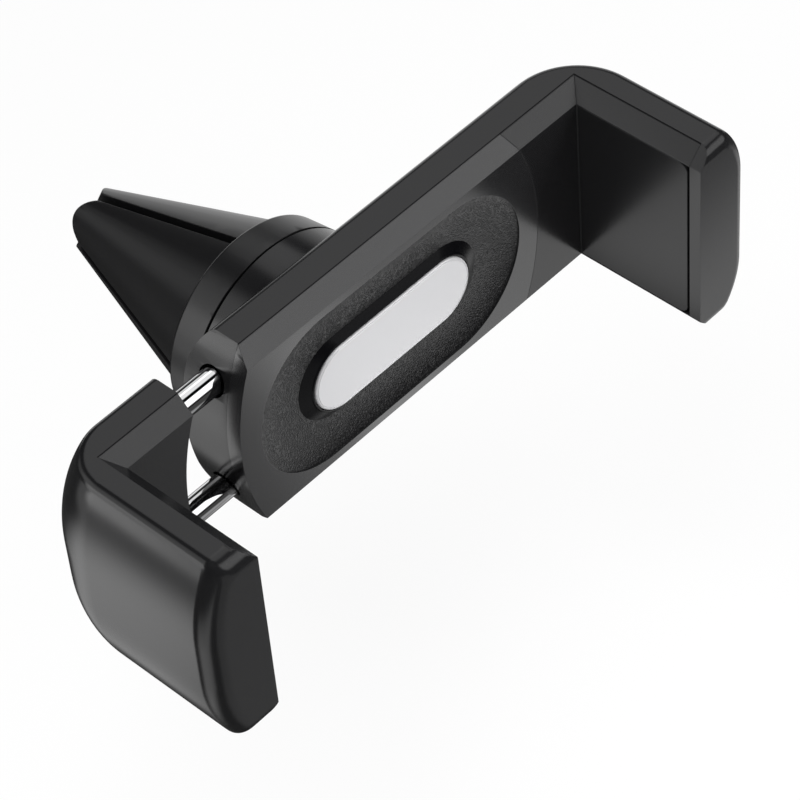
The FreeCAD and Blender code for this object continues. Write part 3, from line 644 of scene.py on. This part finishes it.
class HOLDER_OT_stage(bpy.types.Operator):
    """Adds the floor, the lights, the world and the camera"""
    bl_idname = "holder.stage"
    bl_label = "Stage"

    def execute(self, context):
        self.add_floor()
        self.add_world(context)
        for name, place, width, power in LAMPS:
            self.add_lamp(context, name, place, width, power)
        self.add_camera(context)
        context.scene.view_settings.view_transform = "Standard"
        return {"FINISHED"}

    def add_floor(self):
        """A dull painted floor: near white to the camera, with pale cards on a dark ground in reflections."""
        bpy.ops.object.select_all(action="DESELECT")
        bpy.ops.mesh.primitive_plane_add(size=sizes().floor_size, location=(0, 0, -sizes().floor_drop))
        floor = bpy.context.active_object
        floor.name = "floor"
        material, tree, shader, place = new_material("pale_floor", colours().floor, 0.9)
        rays = add_node(tree, "ShaderNodeLightPath")
        seen = product(tree, rays.outputs["Is Camera Ray"], FLOOR_GLOW)
        white = add_node(tree, "ShaderNodeEmission", {"Strength": WHITE})
        plain = add_node(tree, "ShaderNodeMixShader", {}, {"Fac": seen})
        tree.links.new(shader.outputs["BSDF"], plain.inputs[1])
        tree.links.new(white.outputs["Emission"], plain.inputs[2])
        cards = add_node(tree, "ShaderNodeEmission", {}, {"Strength": self.floor_cards(tree, place, rays)})
        mirrored = add_node(tree, "ShaderNodeMixShader", {}, {"Fac": rays.outputs["Is Glossy Ray"]})
        tree.links.new(plain.outputs["Shader"], mirrored.inputs[1])
        tree.links.new(cards.outputs["Emission"], mirrored.inputs[2])
        tree.links.new(mirrored.outputs["Shader"], find_node(tree, "OUTPUT_MATERIAL").inputs["Surface"])
        floor.data.materials.append(material)

    def floor_cards(self, tree, place, rays):
        """Brightness of the cards that lie round the holder, as light that comes from it meets them."""
        flat = add_node(tree, "ShaderNodeSeparateXYZ", {}, {"Vector": place})
        spot = add_node(tree, "ShaderNodeCombineXYZ", {}, {
            "X": flat.outputs["X"], "Y": flat.outputs["Y"], "Z": rays.outputs["Ray Length"]}).outputs["Vector"]
        strength = None
        for level, edges in FLOOR_CARDS:
            card = None
            for x, y, reach, dark, bright in edges:
                edge = fade(tree, along(tree, spot, (x, y, reach)), dark * MM, bright * MM)
                card = edge if card is None else product(tree, card, edge)
            card = product(tree, card, level)
            strength = card if strength is None else total(tree, strength, card)
        return total(tree, strength, GROUND_LEVEL)

    def add_world(self, context):
        """White to the camera, an even light on the object, and pale cards on black in reflections."""
        world = bpy.data.worlds.new("studio")
        context.scene.world = world
        world.use_nodes = True
        tree = world.node_tree
        tree.nodes.clear()
        rays = add_node(tree, "ShaderNodeLightPath")
        even = add_node(tree, "ShaderNodeBackground", {"Strength": EVEN_LIGHT})
        white = add_node(tree, "ShaderNodeBackground", {"Strength": WHITE})
        cards = add_node(tree, "ShaderNodeBackground", {}, {"Strength": self.wall_cards(tree)})
        plain = add_node(tree, "ShaderNodeMixShader", {}, {"Fac": rays.outputs["Is Camera Ray"]})
        tree.links.new(even.outputs["Background"], plain.inputs[1])
        tree.links.new(white.outputs["Background"], plain.inputs[2])
        mirrored = add_node(tree, "ShaderNodeMixShader", {}, {"Fac": rays.outputs["Is Glossy Ray"]})
        tree.links.new(plain.outputs["Shader"], mirrored.inputs[1])
        tree.links.new(cards.outputs["Background"], mirrored.inputs[2])
        output = add_node(tree, "ShaderNodeOutputWorld")
        tree.links.new(mirrored.outputs["Shader"], output.inputs["Surface"])

    def wall_cards(self, tree):
        """Brightness of the round cards that stand round the holder."""
        place = add_node(tree, "ShaderNodeTexCoord").outputs["Generated"]
        strength = None
        for direction, inner, outer, level in WALL_CARDS:
            near = along(tree, place, Vector(direction).normalized())
            card = fade(tree, near, math.cos(math.radians(outer)), math.cos(math.radians(inner)))
            card = product(tree, card, level)
            strength = card if strength is None else total(tree, strength, card)
        return combine(tree, "MAXIMUM", strength, 0.0)

    def add_lamp(self, context, name, place, width, power):
        """A soft square lamp that points at the origin and isn't mirrored in the holder."""
        data = bpy.data.lights.new(name, "AREA")
        data.size = width
        data.energy = power
        lamp = bpy.data.objects.new(name, data)
        context.scene.collection.objects.link(lamp)
        lamp.location = place
        lamp.rotation_mode = "QUATERNION"
        lamp.rotation_quaternion = Vector(place).to_track_quat("Z", "Y")
        lamp.visible_glossy = False

    def add_camera(self, context):
        data = bpy.data.cameras.new("camera")
        data.sensor_width = SENSOR_WIDTH
        data.lens = LENS
        data.clip_start = 0.02
        data.clip_end = 20.0
        camera = bpy.data.objects.new("camera", data)
        context.scene.collection.objects.link(camera)
        camera.matrix_world = Matrix.Translation(CAMERA_PLACE) @ Matrix(CAMERA_TURN).to_4x4()
        context.scene.camera = camera


class HOLDER_PT_panel(bpy.types.Panel):
    """Lists the holder's sizes, colours and steps"""
    bl_label = "Air Vent Phone Holder"
    bl_idname = "HOLDER_PT_panel"
    bl_space_type = "VIEW_3D"
    bl_region_type = "UI"
    bl_category = "Holder"

    def draw(self, context):
        layout = self.layout
        for group in (context.scene.holder_sizes, context.scene.holder_colours):
            for name in group.__annotations__:
                layout.prop(group, name)
        for operator in OPERATORS:
            layout.operator(operator.bl_idname)


OPERATORS = (HOLDER_OT_finishes, HOLDER_OT_edges, HOLDER_OT_back_pad, HOLDER_OT_pedestal, HOLDER_OT_badge,
             HOLDER_OT_springs, HOLDER_OT_stage)
CLASSES = (HolderSizes, HolderColours) + OPERATORS + (HOLDER_PT_panel,)


def register():
    for cls in CLASSES:
        bpy.utils.register_class(cls)
    bpy.types.Scene.holder_sizes = bpy.props.PointerProperty(type=HolderSizes)
    bpy.types.Scene.holder_colours = bpy.props.PointerProperty(type=HolderColours)


def unregister():
    del bpy.types.Scene.holder_colours
    del bpy.types.Scene.holder_sizes
    for cls in reversed(CLASSES):
        bpy.utils.unregister_class(cls)


def main():
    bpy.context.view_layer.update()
    register()
    bpy.ops.holder.finishes()
    bpy.ops.holder.edges()
    bpy.ops.holder.back_pad()
    bpy.ops.holder.pedestal()
    bpy.ops.holder.badge()
    bpy.ops.holder.springs()
    bpy.ops.holder.stage()


if __name__ == "__main__":
    main()
